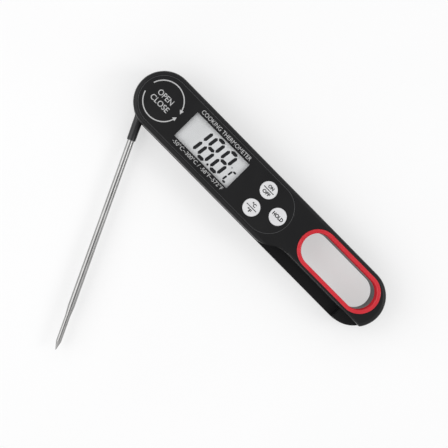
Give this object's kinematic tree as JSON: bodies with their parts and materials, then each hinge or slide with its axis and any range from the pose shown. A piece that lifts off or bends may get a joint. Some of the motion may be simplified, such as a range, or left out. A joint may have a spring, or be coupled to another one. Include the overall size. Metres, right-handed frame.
{
  "type": "folding probe thermometer",
  "caption": "Folding digital meat thermometer: slim black handle with a display and round keys, a hinged steel probe and a long hanging hole in a red trim.",
  "frame": {"origin": "on the probe's hinge axis, in the plane of the flat rear face", "axes": "+X runs along the handle from the hinge to the hanging hole, +Z comes out of the display, and the probe opens on the -Y side"},
  "size_m": [0.166, 0.1406, 0.0194],
  "materials": {
    "case_plastic": "satin moulded, fine grain",
    "label_film": "semi-gloss printed film",
    "clear_lens": "clear polished",
    "red_trim": "gloss moulded",
    "lcd_glass": "grey reflective",
    "diffuser": "frosted",
    "white_frame": "moulded",
    "zebra_rubber": "striped",
    "board": "solder mask",
    "chip_resin": "cast",
    "small_parts": "soldered",
    "switch_steel": "stamped",
    "grey_silicone": "matte",
    "red_silicone": "matte",
    "cell_jacket": "gloss jacket",
    "plated_spring": "nickel plated",
    "lock_plastic": "moulded",
    "magnet_nickel": "nickel plated",
    "screw_steel": "zinc plated",
    "wire_cover": "insulation",
    "hub_plastic": "satin moulded",
    "probe_steel": "polished stainless",
    "sensor_bead": "resin",
    "black_rubber": "greased",
    "spring_steel": "spring temper",
    "button_plastic": "satin moulded",
    "stem_plastic": "moulded"
  },
  "bodies": {
    "housing": {"front_shell": "case_plastic", "rear_shell": "case_plastic", "hinge_cover": "case_plastic", "battery_door": "case_plastic", "case_gasket": "grey_silicone", "face_label": "label_film", "window_lens": "clear_lens", "ring_trim": "red_trim", "lcd_panel": "lcd_glass", "lcd_backlight": "diffuser", "lcd_frame": "white_frame", "zebra_strips": "zebra_rubber", "circuit_board": "board", "board_chip": "chip_resin", "board_parts": "small_parts", "button_switches": "switch_steel", "keypad_mat": "grey_silicone", "power_dome": "grey_silicone", "unit_dome": "grey_silicone", "hold_dome": "grey_silicone", "battery_cell": "cell_jacket", "battery_spring": "plated_spring", "battery_plate": "plated_spring", "door_gasket": "red_silicone", "rear_magnet": "magnet_nickel", "case_screws": "screw_steel", "hinge_screws": "screw_steel", "board_screws": "screw_steel", "sensor_tail": "wire_cover"},
    "probe": {"probe_hub": "hub_plastic", "probe_sleeve": "hub_plastic", "probe_tube": "probe_steel", "probe_point": "probe_steel", "thermistor": "sensor_bead", "sensor_leads": "wire_cover", "hinge_o_rings": "black_rubber", "hinge_washer": "spring_steel", "hinge_clip": "spring_steel"},
    "power_button": {"power_button": "button_plastic", "power_stem": "stem_plastic"},
    "unit_button": {"unit_button": "button_plastic", "unit_stem": "stem_plastic"},
    "hold_button": {"hold_button": "button_plastic", "hold_stem": "stem_plastic"},
    "battery_lock": {"door_lock": "lock_plastic"}
  },
  "joints": [
    {"name": "probe_fold", "type": "hinge", "parent": "housing", "child": "probe", "pos_m": [0, 0, 0.006], "axis": [0, 0, -1], "range_deg": [-64.5, 115.5]},
    {"name": "power_press", "type": "slide", "parent": "housing", "child": "power_button", "axis": [0, 0, -1], "range_m": [0, 0.0004], "stiffness_N_per_m": 400, "deforming": ["power_dome"]},
    {"name": "unit_press", "type": "slide", "parent": "housing", "child": "unit_button", "axis": [0, 0, -1], "range_m": [0, 0.0004], "stiffness_N_per_m": 400, "deforming": ["unit_dome"]},
    {"name": "hold_press", "type": "slide", "parent": "housing", "child": "hold_button", "axis": [0, 0, -1], "range_m": [0, 0.0004], "stiffness_N_per_m": 400, "deforming": ["hold_dome"]},
    {"name": "battery_lock_turn", "type": "hinge", "parent": "housing", "child": "battery_lock", "pos_m": [0.0378, 0.0026, 0.001], "axis": [0, 0, 1], "range_deg": [0, 90]}
  ]
}
